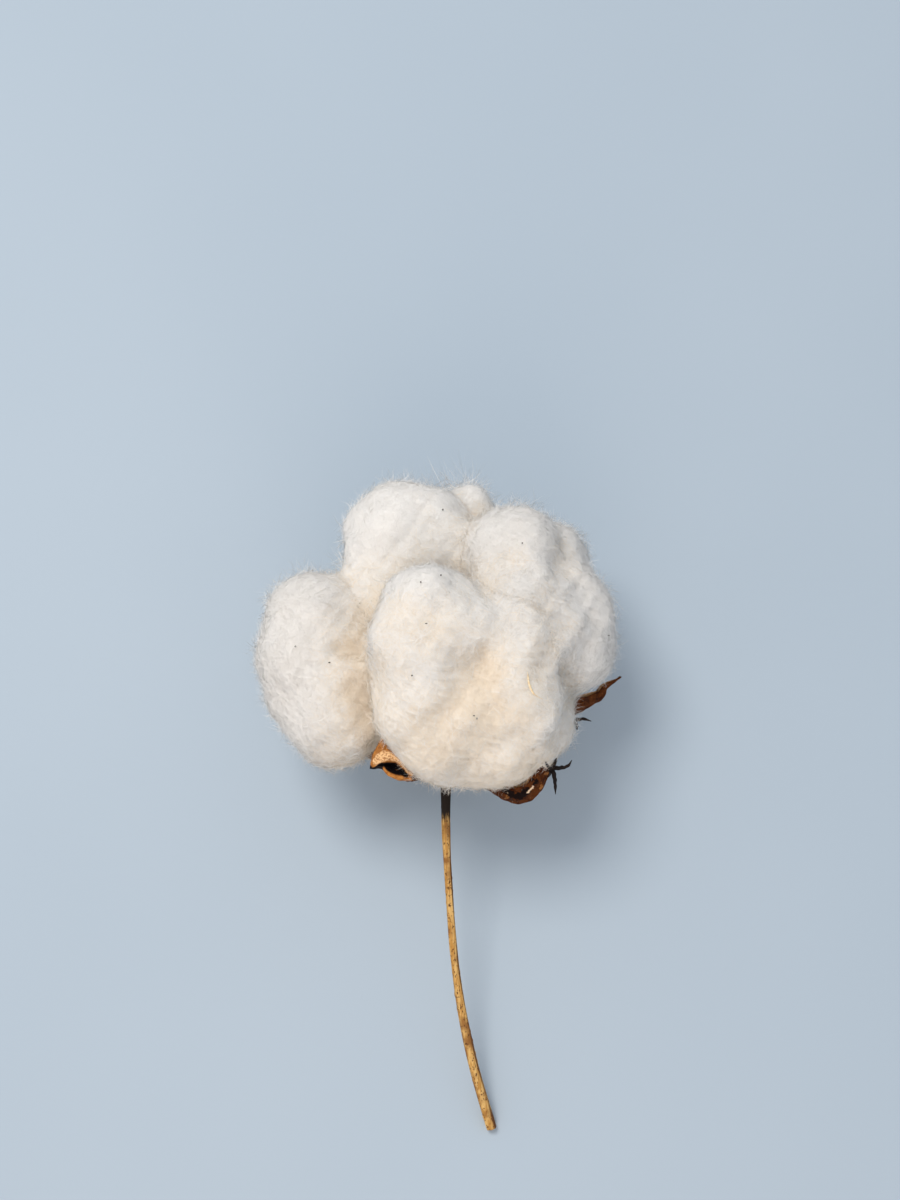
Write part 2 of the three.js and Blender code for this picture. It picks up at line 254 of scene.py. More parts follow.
shares = np.linspace(0, 1, STALK_RINGS)
stations = [
    (side, STALK_TOP + (-STALK_LENGTH - STALK_TOP) * i / (len(STALK_SIDE) - 1), drop)
    for i, (side, drop) in enumerate(zip(STALK_SIDE, STALK_DROP))
]
middle = spline(stations, len(shares))
normal, binormal = frames_along(middle, UPWARD)
angles = round_ring(STALK_SIDES)
around, along = np.meshgrid(angles, shares * (STALK_LENGTH + STALK_TOP))
on_rod = np.stack([np.cos(around) * 1.2, np.sin(around) * 1.2, along * 0.22], -1)
grooves = np.cos(GROOVES * around + 0.9 * ripple(on_rod, 4, 3)) * GROOVE_DEPTH
warts = np.clip(ripple(on_rod * (1, 1, 3), 1.3, 5) - 0.9, 0, 1) * WART_DEPTH
from_ridge = (around - math.pi / 2 - RIDGE_HEADING + math.pi) % (2 * math.pi) - math.pi
ridge_share = np.exp(-((from_ridge / RIDGE_REACH) ** 2))
reach = between(STALK_RADII, shares)[:, None] + grooves + warts + RIDGE_HEIGHT * ridge_share
reach *= 1 + 0.05 * ripple(on_rod * (0, 0, 1), 3, 8)
rings = swept(middle, normal, binormal, reach * np.cos(around), reach * np.sin(around))
stalk = skin("stalk_stem", rings, stalk_skin)
# How strong the painted shade is round the stalk, strongest along the ridge's side.
side_shade_values = (ridge_share * (0.75 + 0.5 * ripple(on_rod, 5, 9))).ravel()
note(stalk, "painted_shade_side", np.append(side_shade_values, [0, 0]))
seat(stalk, "stalk", "stalk")

# The receptacle is the woody knob at the stalk's top that the bur stands on. It is hard and brown,
# with faint swellings, as many as the bur has walls. It is turned round the boll's axis from one
# outline, which is widest above its middle.
KNOB_RADIUS = 4.6
KNOB_FOOT = 3.5
KNOB_HEIGHT = 4.4
KNOB_OUTLINE = [  # shares of the knob's radius and height
    (0.24, 0), (0.42, 0), (0.66, 0.12), (0.84, 0.32), (0.98, 0.6), (0.93, 0.78), (0.7, 0.93), (0.3, 1),
]
SWELLINGS = 5
SWELLING_HEIGHT = 0.035
KNOB_ROUGHNESS = 0.05
KNOB_RINGS = 40
KNOB_SIDES = 90

knob_wood, tree, shader = new_material("knob_wood", Roughness=0.75)
grain = noise(tree, boll_place(tree), 1.1, 5)
colour = ramp(tree, grain, 0.35, 0.65, (0.11, 0.05, 0.022), (0.035, 0.02, 0.013))
tree.links.new(colour, shader.inputs["Base Color"])
relief(tree, shader, noise(tree, boll_place(tree), 3, 4), 0.1)

outline = spline(KNOB_OUTLINE, KNOB_RINGS)
angles = round_ring(KNOB_SIDES)
swelling = 1 + SWELLING_HEIGHT * np.cos(SWELLINGS * angles)
wide = outline[:, :1] * KNOB_RADIUS * swelling
height_of = np.broadcast_to(outline[:, 1:] * KNOB_HEIGHT + KNOB_FOOT, wide.shape)
rings = np.stack([wide * np.cos(angles), height_of, wide * np.sin(angles)], -1)
rings = rings + KNOB_ROUGHNESS * ripple(rings, 1.1, 21)[..., None]
knob = skin("receptacle_knob", rings, knob_wood)
seat(knob, "bur", "receptacle")

# The bur is the dried wall of the fruit, split into five pointed valves that have sprung open
# between the locks. Each valve has two layers, a rough red-brown woody wall outside and a smooth
# tan lining inside, which part a little towards the rims. Both are swept along the valve's rib.
WALL = 0.42  # half of the woody wall's thickness
LINING = 0.14  # half of the lining's thickness
VALVE_CUPS = [0.4, 2.6, 4.2, 3.8, 1.8, 0]  # how far the rims stand up, from foot to tip
WIDE_VALVE = [1.8, 6, 8.6, 8.2, 5.6, 0.5]  # half widths, from foot to tip, as on the next three
NARROW_VALVE = [1.8, 3.8, 4.8, 4.6, 3.2, 0.4]
BLUNT_VALVE = [1.8, 6, 8.6, 8.2, 5.8, 2.2, 1.0]
SMALL_VALVE = [2, 3, 3.2, 2.8, 1.8, 0.4]
VALVE_RINGS = 110
VALVE_SIDES = 72
VEIN_WAVES = 11  # in radians, from a valve's rib to its rim
VALVES = {  # each valve's heading, roll, cup depth and half widths, and its rib's (out, up, side) stations
    "front_right": (28, 6, 0.8, NARROW_VALVE, [
        (5.6, 5.2), (11, 1), (16.4, -1, -0.5), (20.8, 0, -1.2), (23.8, 3.4, -2.6), (25.2, 7, -4.4),
        (25.1, 9.7, -5.4),
    ]),
    "right": (-14, 12, 0.9, BLUNT_VALVE, [
        (5.6, 6), (13, 7), (20, 11), (27, 14.9), (32.6, 17.9), (35.2, 19.2), (36.4, 21.4), (39.6, 23.6),
    ]),
    "back": (-95, 0, 1, WIDE_VALVE, [(5.6, 5.2), (12, 2.6), (19, 6), (24.5, 15), (27.5, 24)]),
    "left": (-164, 0, 1, WIDE_VALVE, [(5.6, 5.4), (12, 4.6), (18, 7.6), (23, 12.4), (26, 18.5)]),
    "front_left": (122, 0, 0.6, SMALL_VALVE, [(5.6, 5.4), (10, 4.2), (14, 4), (17.4, 5), (19, 6.6)]),
}


def outward(heading):
    """The direction straight out from the boll's axis at a heading in degrees."""
    return np.array([math.cos(math.radians(heading)), 0, math.sin(math.radians(heading))])


def sideways(heading):
    """The direction across the boll's axis at a heading in degrees."""
    return np.array([math.sin(math.radians(heading)), 0, -math.cos(math.radians(heading))])


def around_axis(heading, out, up, side=0):
    """A point by its distance out from the axis, its height up it and its offset to one side."""
    return outward(heading) * out + sideways(heading) * side + np.array([0, up, 0])


def valve_layer(name, valve, inset, half_wall, lift, seed, material):
    """One layer of a valve: a shallow boat across its rib, whose rims stand up round the lint."""
    heading, roll, depth, widths, rib = valve
    shares = np.linspace(0, 1, VALVE_RINGS)
    middle = spline([around_axis(heading, *station) for station in rib], len(shares))
    level, below = frames_along(middle, sideways(heading))
    normal = level * math.cos(math.radians(roll)) + below * math.sin(math.radians(roll))
    binormal = below * math.cos(math.radians(roll)) - level * math.sin(math.radians(roll))
    angles = round_ring(VALVE_SIDES)[None]
    across, side = np.cos(angles), np.sin(angles)
    half = between(widths, shares)[:, None]
    length = np.linalg.norm(np.diff(middle, axis=0), axis=1).sum()
    flat = np.stack(np.broadcast_arrays(shares[:, None] * length, across * half, half * 0), -1)
    ragged = 1 - inset / np.maximum(half, 1) + 0.035 * ripple(flat * (1, 0.05, 1), 3.5, seed)
    wide = half * across * ragged
    cup = depth * between(VALVE_CUPS, shares)[:, None] * across**2
    curl = 0.35 * ripple(flat * (1, 0.3, 1), 9, seed + 1) * across**2 * np.minimum(half / 4, 1)
    wall = half_wall * np.minimum(1, half / 2) * (0.55 + 0.45 * np.sqrt(np.maximum(0, 1 - across**2)))
    veins = 0.3 * np.cos(across * VEIN_WAVES) * np.minimum(half / 4, 1) + 0.2 * ripple(flat, 1.6, seed + 2)
    deep = (wall + veins * half_wall) * np.sign(side) * np.abs(side) ** 0.6
    deep = deep - cup - curl - lift * (0.3 + 0.7 * across**2) * np.minimum(half / 4, 1)
    return skin(name, swept(middle, normal, binormal, wide, deep), material)


husk, tree, shader = new_material("husk_outside", Roughness=0.85, Specular_IOR_Level=0.08)
fibre_place = boll_place(tree)
blotches = noise(tree, fibre_place, 0.55, 5, 0.62)
fine = noise(tree, fibre_place, 2.8, 5, 0.6)
colour = ramp(tree, blotches, 0.4, 0.62, (0.115, 0.031, 0.006), (0.04, 0.009, 0.003))
colour = ramp(tree, fine, 0.56, 0.7, colour, (0.24, 0.085, 0.02))
ragged = noise(tree, fibre_place, 1.4, 4)
for label, mark_colour in (
    ("orange", (0.34, 0.13, 0.035)),
    ("black", (0.01, 0.004, 0.003)),
    ("split", (0.85, 0.62, 0.42)),
):
    mark = add(tree, "ShaderNodeAttribute", attribute_name=label).outputs["Fac"]
    mark = add(tree, "ShaderNodeMath", {0: ragged, 1: 2.4, 2: mark}, operation="MULTIPLY_ADD").outputs[0]
    colour = ramp(tree, mark, 1.6, 1.85, colour, mark_colour)
tree.links.new(colour, shader.inputs["Base Color"])
relief(tree, shader, fine, 0.16)

lining, tree, shader = new_material("husk_lining", Roughness=0.45)
lining_place = boll_place(tree)
silk = noise(tree, boll_place(tree, (1, 0.4, 1)), 1.8, 5)
colour = ramp(tree, silk, 0.35, 0.65, (0.62, 0.36, 0.17), (0.42, 0.19, 0.07))
colour = ramp(tree, noise(tree, lining_place, 0.7, 4), 0.58, 0.72, colour, (0.16, 0.06, 0.025))
tree.links.new(colour, shader.inputs["Base Color"])
relief(tree, shader, silk, 0.06)

VALVE_MARKS = {  # reach and places, seen from above: blackened, orange, and split down to the lining
    "black": (0.9, [
        (12.2, 1.8), (13.6, 0.9), (15.1, 0.3), (16.1, 0.9), (16.9, 1.9), (18.5, 4.2), (36.3, 24.6),
    ]),
    "orange": (0.55, [(9.5, 3.1), (10.3, 2.7), (12, 2.4), (13, 0.3), (20.8, 7.2), (21, 5.5), (19.8, 2.6)]),
    "split": (0.24, [(17, 1.6), (17.25, 1.85), (17.5, 2.15), (17.8, 2.45), (18.1, 2.8)]),
}


def mark_wall(wall):
    """Gives a valve's wall its marks, as how strong each is at each of its points."""
    points = np.empty(len(wall.data.vertices) * 3)
    wall.data.vertices.foreach_get("co", points)
    flat = ((points.reshape(-1, 3) / MM - LINT_FOOT) @ turn)[:, :2]
    for label, (reach, places) in VALVE_MARKS.items():
        values = sum(np.exp(-((flat - place) ** 2).sum(1) / reach**2) for place in places)
        note(wall, label, values)


for number, (side_name, valve) in enumerate(VALVES.items()):
    outside = valve_layer(f"valve_{side_name}_wall", valve, 0, WALL, -0.16, 40 + 5 * number, husk)
    mark_wall(outside)
    seat(outside, "bur", f"valve_{side_name}")
    inside = valve_layer(f"valve_{side_name}_lining", valve, 0.35, LINING, 0.5, 80 + 5 * number, lining)
    seat(inside, "bur")

# The front left valve has dried open between two locks, and its end is a thin curled sheet of husk.
# An orange flap stands up behind, a pale fold runs along its foot, and below that is a hollow with a tan lip.
# Its left end is a hooked tip. The hollow, the hook's lower side and its tip are painted near-black as shade.
# The pale tan of the fold and lip is partly their own colour and partly painted highlight where their rounded
# edges catch the light. The sheet lies smoothly through rows of points.
CURL_SHEET = 0.13  # half of the sheet's thickness
CURL_COLUMNS = 90  # along each row, from the hooked tip
CURL_LINES = 60  # across the rows
CURL_ROWS = [  # from the flap's top down to the lip's underside, each from the hooked tip to the right
    [(-15.5, 7.1, 17.6), (-15.0, 9.3, 17.0), (-14.0, 11.4, 16.2), (-12.8, 13.3, 15.6), (-11.6, 12.2, 15.6),
     (-9.6, 9.8, 16.0), (-7.0, 6.2, 16.6)],
    [(-15.5, 7.1, 17.8), (-14.7, 9.1, 18.2), (-13.6, 10.2, 18.6), (-12.4, 10.7, 18.9), (-11.1, 10.2, 19.0),
     (-9.3, 9.0, 18.8), (-6.7, 5.8, 17.6)],
    [(-15.5, 7.1, 17.8), (-14.4, 7.7, 18.0), (-13.3, 8.4, 18.4), (-12.1, 8.9, 18.8), (-10.7, 8.9, 18.9),
     (-9.2, 8.1, 18.5), (-7.1, 5.5, 17.5)],
    [(-15.5, 7.0, 17.6), (-14.4, 7.5, 17.6), (-13.0, 7.8, 17.0), (-11.7, 7.4, 15.8), (-10.4, 6.8, 15.4),
     (-9.0, 6.1, 16.0), (-7.3, 5.1, 17.2)],
    [(-15.5, 7.0, 17.8), (-14.2, 7.3, 17.8), (-12.7, 7.3, 18.0), (-11.7, 6.3, 18.6), (-10.5, 5.7, 18.9),
     (-9.0, 5.4, 18.7), (-7.1, 5.0, 17.8)],
    [(-15.5, 6.9, 17.6), (-14.2, 7.1, 17.5), (-12.8, 6.9, 17.6), (-11.8, 5.8, 18.0), (-10.6, 5.1, 18.2),
     (-9.0, 4.8, 18.0), (-6.9, 4.6, 17.4)],
    [(-15.5, 6.9, 17.3), (-14.3, 7.1, 17.0), (-12.7, 6.9, 16.6), (-11.7, 5.8, 16.2), (-10.5, 5.1, 15.8),
     (-9.0, 4.8, 15.8), (-7.0, 4.6, 16.6)],
]
ROW_STEP = 0.01  # a hidden fourth coordinate that tells which row a point of the sheet is on
CRUMPLE = 0.09
CRUMPLES = [(1.5, 131), (1.9, 132), (1.3, 133)]  # the size and random order along each axis

curled_husk, tree, shader = new_material("curled_husk", Roughness=0.7, Specular_IOR_Level=0.2)
mottle = noise(tree, boll_place(tree), 1.5, 4)
flecks = noise(tree, boll_place(tree), 2.6, 3)
colour = ramp(tree, mottle, 0.35, 0.7, (0.52, 0.21, 0.045), (0.26, 0.09, 0.022))
fold_colour = ramp(tree, flecks, 0.44, 0.64, (0.85, 0.53, 0.26), (0.4, 0.17, 0.06))
# The pale fold and lip: their own tan, partly painted highlight where their rounded edges catch the light.
pale = add(tree, "ShaderNodeAttribute", attribute_name="pale").outputs["Fac"]
colour = ramp(tree, pale, 0.25, 0.75, colour, fold_colour)
# Painted shade: the hollow inside the curl and the hook's lower side and tip are painted near-black.
shade = add(tree, "ShaderNodeAttribute", attribute_name="hollow").outputs["Fac"]
colour = ramp(tree, shade, 0.25, 0.7, colour, (0.006, 0.004, 0.005))
tree.links.new(colour, shader.inputs["Base Color"])
relief(tree, shader, noise(tree, boll_place(tree), 3, 4), 0.08)

rows = np.array([
    spline([(*station, ROW_STEP * number) for station in row], CURL_COLUMNS)
    for number, row in enumerate(CURL_ROWS)
])
sheet = np.array([spline(column, CURL_LINES) for column in rows.transpose(1, 0, 2)])
on_row = sheet[..., 3] / ROW_STEP
sheet = sheet[..., :3]
sheet = sheet + CRUMPLE * np.stack([ripple(sheet, size, seed) for size, seed in CRUMPLES], -1)
facing = np.cross(np.gradient(sheet, axis=1), np.gradient(sheet, axis=0))
facing /= np.linalg.norm(facing, axis=2)[..., None] + 1e-9
shares = np.linspace(0, 1, len(sheet))[:, None]
thick = CURL_SHEET * np.clip(shares / 0.08, 0.3, 1)[..., None]
rings = np.concatenate([sheet - facing * thick, (sheet + facing * thick)[:, ::-1]], axis=1)
curl = skin("valve_front_left_curl", rings, curled_husk)
# Where the fold, and more faintly the lip, are painted pale tan, partly as painted highlight.
pale_values = np.exp(-(((on_row - 1.5) / 0.6) ** 4)) * np.clip((shares - 0.1) / 0.05, 0, 1)
pale_values = pale_values + 0.3 * np.exp(-(((on_row - 4.5) / 0.4) ** 2))
# Painted shade in the hollow below the fold, running into the hook's lower side and its tip.
hollow_shade_values = np.exp(-(((on_row - 3.05) / 0.85) ** 4)) * np.clip((0.96 - shares) / 0.05, 0, 1)
hook_shade_values = np.clip((0.34 - shares) / 0.08, 0, 1) * np.clip((on_row - 1.9) / 0.3, 0, 1)
hollow_shade_values = np.maximum(hollow_shade_values, np.maximum(hook_shade_values, np.clip((0.07 - shares) / 0.03, 0, 1)))
for label, values in (("pale", pale_values), ("hollow", hollow_shade_values)):
    values = np.concatenate([values, values[:, ::-1]], axis=1)
    note(curl, label, np.append(values.ravel(), [0, 0]))
seat(curl, "bur")

# The bracts are the three withered leaves below the bur. Each has dried to a thin black-brown blade,
# folded along its midrib, that ends in a few long curling teeth.
BLADE = 0.26  # half of the blade's thickness
BLADE_FOLD = 0.25
TOOTH_RADII = [0.78, 0.54, 0.42, 0.12]
TOOTH_KNOTS = 0.16
BLADE_LENGTH = 24  # along which the blade's unevenness is spread
BLADE_WAVES = 26  # of its veins, in radians, from its foot to its tip
BLADE_RINGS = 80
BLADE_SIDES = 56
TOOTH_RINGS = 40
TOOTH_SIDES = 14
TOOTH_FLATNESS = 0.8
BRACTS = {  # each blade's (heading, out, up) stations and half widths, and its teeth's stations
    "right": (
        [(12, 4.6, 2.4), (4, 12, -0.4), (8, 18, 0.8), (14, 22.4, 3.8), (22.5, 23.6, 5.6), (29, 24.8, 6.4)],
        [1.3, 3, 3, 2, 1.3, 0.8],
        [
            [(28.9, 24.8, 6.4), (27.7, 27.1, 6.5), (26.7, 28.5, 7), (25.6, 29.1, 8.1)],
            [(28.8, 24.9, 6.4), (29.7, 25.9, 5.2), (29.8, 26.2, 3.4), (28.8, 26.1, 1)],
            [(28.9, 24.8, 6.3), (30.4, 26.1, 7.4), (33.2, 27.4, 8.8)],
            [(28.7, 25, 6.2), (36.4, 26.1, 7.3), (40.5, 27, 8.3)],
        ],
    ),
    "right_small": (
        [(2, 5.2, 3.4), (4, 13, 3.4), (6, 20.5, 6.4), (6, 26.6, 14)],
        [1.1, 2.4, 2.2, 0.8],
        [
            [(6, 26.2, 13.6), (6, 27.8, 15.2), (6, 29.4, 15.7), (6, 31.2, 15.2)],
            [(6, 26.8, 14.2), (6, 27.9, 14.6), (6, 28.2, 13.3)],
        ],
    ),
    "back": (
        [(-100, 4.4, 2.2), (-100, 10, 0.2), (-100, 16, 0.8), (-101, 21, 4.6)],
        [1.4, 3.6, 4, 1.8],
        [
            [(-101, 20, 3.8), (-97, 23, 6), (-95, 25, 9)],
            [(-101, 20, 3.8), (-104, 23.6, 5), (-107, 25.4, 8.4)],
        ],
    ),
}

dry_leaf, tree, shader = new_material("dry_leaf", Roughness=0.85, Specular_IOR_Level=0.15)
leaf_noise = noise(tree, boll_place(tree), 1.2, 5)
colour = ramp(tree, leaf_noise, 0.45, 0.8, (0.012, 0.009, 0.009), (0.05, 0.026, 0.015))
tree.links.new(colour, shader.inputs["Base Color"])
relief(tree, shader, noise(tree, boll_place(tree), 3.4, 4), 0.08)


def bract_blade(name, blade, widths):
    """The blade of a bract, folded along its midrib, with raised veins and a ragged edge."""
    shares = np.linspace(0, 1, BLADE_RINGS)
    middle = spline([around_axis(*station) for station in blade], len(shares))
    normal, binormal = frames_along(middle, sideways(blade[0][0]))
    angles = round_ring(BLADE_SIDES)[None]
    across = np.cos(angles)
    half = between(widths, shares)[:, None]
    flat = np.stack(np.broadcast_arrays(shares[:, None] * BLADE_LENGTH, across * half, half * 0), -1)
    wide = half * across * (1 + 0.08 * ripple(flat * (1, 0.05, 1), 3, 7))
    fold = BLADE_FOLD * half * across**2 + 0.2 * ripple(flat, 5, 17) * across**2
    veins = 0.25 * np.cos(BLADE_WAVES * shares[:, None] - 9 * np.abs(across)) + 0.2 * ripple(flat, 1.4, 27)
    deep = BLADE * (1 + 0.4 * veins) * np.sin(angles) - fold
    return skin(name, swept(middle, normal, binormal, wide, deep), dry_leaf)


def bract_tooth(name, stations):
    """One tooth of a bract: a tapered, slightly flattened and knotty spine."""
    shares = np.linspace(0, 1, TOOTH_RINGS)
    middle = spline([around_axis(*station) for station in stations], len(shares))
    normal, binormal = frames_along(middle, UPWARD)
    angles = round_ring(TOOTH_SIDES)[None]
    reach = between(TOOTH_RADII, shares)[:, None]
    flat = np.stack(np.broadcast_arrays(shares[:, None] * 8, angles), -1)
    reach = reach * (1 + TOOTH_KNOTS * ripple(flat, 1.5, 4))
    wide = reach * np.cos(angles)
    deep = TOOTH_FLATNESS * reach * np.sin(angles)
    return skin(name, swept(middle, normal, binormal, wide, deep), dry_leaf)


def join(pieces):
    """Several objects made one, under the first one's name."""
    with bpy.context.temp_override(active_object=pieces[0], selected_editable_objects=pieces):
        bpy.ops.object.join()
    return pieces[0]


for side_name, (blade, widths, teeth) in BRACTS.items():
    parts = [bract_blade(f"bract_{side_name}_leaf", blade, widths)]
    parts += [bract_tooth(f"tooth_{number}", stations) for number, stations in enumerate(teeth)]
    seat(join(parts), "bract", f"bract_{side_name}")

# The locks are the five masses of lint, one from each chamber of the fruit. Each is a soft blend of
# puffs of loose fibre, creased where it meets its neighbours and pressed flat where the boll lies
# on it. First comes the dense body of each lock, found by going out from its middle.
PUFF_BLEND = 1.8
LOCK_BLEND = 1.5  # how softly neighbouring locks run together in a crease
UNEVENNESS = 0.7
TUFTS = [(5.0, 0.15, 61), (2.2, 0.1, 62)]  # the size, height and random order of the finer lumps
LINT_INSET = 0.35  # how far the dense lint lies below the fuzz's outline
LOCK_OVERLAP = 0.25  # by which neighbouring locks press into each other
BODY_SPLITS = 7  # how often the ball that a lock's body starts from is split finer
STRIDE = 0.6  # the step in which the lint's edge is looked for, and the halvings that then find it
HALVINGS = 9
FLOOR_GAP = 0.1  # between the lint and the floor
LOCKS = {  # each lock's heading, and its puffs' (up, out, side, radius)
    "front": (85, [
        (39.8, 17.6, -5.7, 9.2), (31.9, 18.6, -8, 9.4), (20.7, 17.4, -7.4, 9.2),
        (15.6, 15.7, -4.6, 8.6), (11.7, 14.3, -1.8, 8.8), (32.7, 14.5, 11.3, 9.8),
        (20.3, 16.4, 12.5, 10.6), (10.7, 14.4, 10.1, 8.6), (22.7, 17, 1.9, 9.4),
        (14.6, 10.8, 20.2, 5.7), (13.1, 13.4, 15, 6.6), (35.3, 15.8, 2, 9.2),
    ]),
    "right": (8, [
        (50.4, 14.2, 0.5, 10.6), (48.5, 21.4, 9.6, 9), (38.3, 26, 3.6, 9.4), (30, 27.1, 2.8, 8.8),
        (39.1, 15.7, -5.4, 10.6), (32.4, 21.1, -4.6, 9.4), (18, 19.1, 3.7, 7.6),
    ]),
    "back_right": (-59, [
        (60.8, 11.2, 0.8, 5.2), (50, 14, 1, 9), (42, 18, 1, 13), (27, 22.5, -1, 14.8),
        (12, 17, 0, 10.5),
    ]),
    "back_left": (-131, [
        (54.4, 10.3, 4.2, 11.8), (55.1, 6.4, -0.2, 9.4), (46.9, 9.7, 9.7, 8.2), (42, 12.5, -1, 10),
        (39.3, 8.4, 13.5, 7), (50.5, 0.9, -4.3, 6.6), (29, 24, 0, 15.2), (15, 17, 1, 10.6),
    ]),
    "left": (165, [
        (37.3, 27.8, -3.3, 9.6), (29.2, 29.2, -2.7, 11), (26.7, 21.9, -0.7, 11.3),
        (17, 23.5, -0.1, 11.1), (20, 29.5, -3.8, 7),
    ]),
}
HOLLOWS = [  # soft hollows pressed in the lint: their place, reach and depth
    ((-22.3, 31.6, 15), 1.5, 1.2), ((-20.5, 31.2, 15), 1.9, 2), ((-18.3, 30.9, 13.5), 2.4, 2.4),
    ((-18, 22.6, 11), 4.5, 1.2), ((7.2, 32, 21), 3, 1.4), ((6.9, 26.6, 24), 3.6, 1.9),
    ((4.1, 21.4, 25), 3.2, 1.2), ((7.7, 42.2, 17), 3.6, 0.9), ((-1.1, 19.4, 25), 3, 0.8),
    ((23.7, 26.5, 13), 4, 1), ((10.9, 19.4, 25), 3, 0.7), ((25, 52.7, 2), 3, 0.8),
]
WISPS = [  # where loose fibres stand off the lint, or lie flat: their place, reach and how much further
    ((2.5, 64, -10), 4.5, 1.8), ((1.0, 66.5, -10), 3, 2.6), ((6.5, 61, -10), 5, 1.0),
    ((30.5, 54.5, -4), 3, 1.4),
    ((17, 62, 2), 5, 0.6), ((-22, 47, 2), 4, 0.8), ((-10, 66, -4), 8, 0.4),
    ((21, 8, 13), 5, -1), ((14, 3, 17), 6, -1), ((-12, 9, 17), 5, -1), ((30, 22, 0), 5, -0.7),
]
LINT_WHITE = (0.93, 0.905, 0.872)
LINT_CREAM = (0.93, 0.83, 0.7)
CREASE_REACH = 4.5  # how far round a point the lint is felt that makes it a crease
CREAM_TOP = 54  # the height up to which painted warm shade creams the lint's lower part
CREAM_FADE_OUT = 45  # about how far out from the axis the cream, mostly painted shade, has nearly faded

puffs = {
    name: (np.array([around_axis(heading, out, up, side) for up, out, side, _ in lobes]),
           np.array([radius for *_, radius in lobes]))
    for name, (heading, lobes) in LOCKS.items()
}


def lint_depth(points):
    """How far the points lie outside each lock, or inside it when negative, one row for each."""
    rows = []
    for lock, (centres, radii) in enumerate(puffs.values()):
        away = np.linalg.norm(points[:, None] - centres[None], axis=2)
        total = np.exp((radii - away) / PUFF_BLEND).sum(1)
        x, y, z = points.T
        lumps = np.sin(0.34 * x + lock) * np.sin(0.3 * y + 2 * lock) * np.sin(0.32 * z + 3 * lock)
        rows.append(UNEVENNESS * lumps - PUFF_BLEND * np.log(total))
    depth = np.array(rows) + LINT_INSET
    for size, height, seed in TUFTS:
        depth += height * ripple(points, size, seed)
    for place, reach, deep in HOLLOWS:
        depth += deep * np.exp(-((points - place) ** 2).sum(1) / reach**2)
    return depth


def boll_depth(depth):
    """How far the points lie outside the lint as a whole, whose locks run softly together."""
    return -LOCK_BLEND * np.log(np.exp(-depth / LOCK_BLEND).sum(0))


def in_lock(lock, points):
    """Whether each point is in that lock's lint, nearer to it than to any other, over the floor."""
    depth = lint_depth(points)
    nearest = np.delete(depth, lock, axis=0).min(0)
    over_floor = lay(points)[:, 2] > FLOOR_GAP * MM
    return (boll_depth(depth) < 0) & (depth[lock] - nearest < LOCK_OVERLAP) & over_floor


def lock_body(lock, name, material):
    """The dense lint of a lock, with how cream each point of it is, mostly painted shade, and how open it
    lies.
    """
    centres, radii = puffs[name]
    heart = (centres * radii[:, None] ** 3).sum(0) / (radii**3).sum()
    bpy.ops.mesh.primitive_ico_sphere_add(subdivisions=BODY_SPLITS, radius=1)
    body = bpy.context.object
    body.name = body.data.name = f"lock_{name}_lint"
    directions = np.empty(len(body.data.vertices) * 3)
    body.data.vertices.foreach_get("co", directions)
    directions = directions.reshape(-1, 3)
    directions /= np.linalg.norm(directions, axis=1)[:, None]
    inside = np.zeros(len(directions))
    going = np.ones(len(directions), bool)
    while going.any():
        ahead = in_lock(lock, heart + directions[going] * (inside[going] + STRIDE)[:, None])
        moving = np.flatnonzero(going)
        inside[moving[ahead]] += STRIDE
        going[moving[~ahead]] = False
    outside = inside + STRIDE
    for _ in range(HALVINGS):
        halfway = (inside + outside) / 2
        within = in_lock(lock, heart + directions * halfway[:, None])
        inside = np.where(within, halfway, inside)
        outside = np.where(within, outside, halfway)
    surface = heart + directions * inside[:, None]
    body.data.vertices.foreach_set("co", lay(surface).ravel())
    body.data.update()
    normals = np.empty(len(surface) * 3)
    body.data.vertex_normals.foreach_get("vector", normals)
    normals = normals.reshape(-1, 3) @ turn
    # Painted shade: the lint is creamed where it lies in a crease, low down towards its foot and in the soft
    # hollows, with a little uneven tone of its own, all fading out away from the axis.
    felt = boll_depth(lint_depth(surface + normals * CREASE_REACH))
    crease_shade = np.clip(1 - felt / CREASE_REACH, 0, 1)
    low_warm_shade = np.clip(1 - surface[:, 1] / CREAM_TOP, 0, 1)
    shade_in_hollows = sum(np.exp(-((surface - place) ** 2).sum(1) / (1.3 * reach) ** 2) for place, reach, _ in HOLLOWS)
    cream = 0.8 * crease_shade + 0.75 * low_warm_shade + 0.12 * shade_in_hollows + 0.12 * ripple(surface, 12, 71)
    inner = np.clip((CREAM_FADE_OUT - np.hypot(1.4 * surface[:, 0], surface[:, 2])) / 12, 0.15, 1)
    cream = np.clip(cream * inner, 0, 1)
    wild = 1 + sum(more * np.exp(-((surface - place) ** 2).sum(1) / reach**2) for place, reach, more in WISPS)
    wild = np.maximum(wild, 0)
    neighbours = np.delete(lint_depth(surface + normals * 0.8), lock, axis=0).min(0)
    openness = np.clip((neighbours + 0.3) / 0.6, 0, 1)
    for label, values in (("cream", cream), ("open", openness), ("wild", wild)):
        note(body, label, values)
    body.data.polygons.foreach_set("use_smooth", [True] * len(body.data.polygons))
    body.data.materials.append(material)
    return body


lint, tree, shader = new_material(
    "lint_dense", Roughness=0.9, Subsurface_Weight=0.35, Subsurface_Scale=MM,
    Subsurface_Radius=(2.5, 2.5, 2.5), Specular_IOR_Level=0.15, Sheen_Weight=0.15,
)
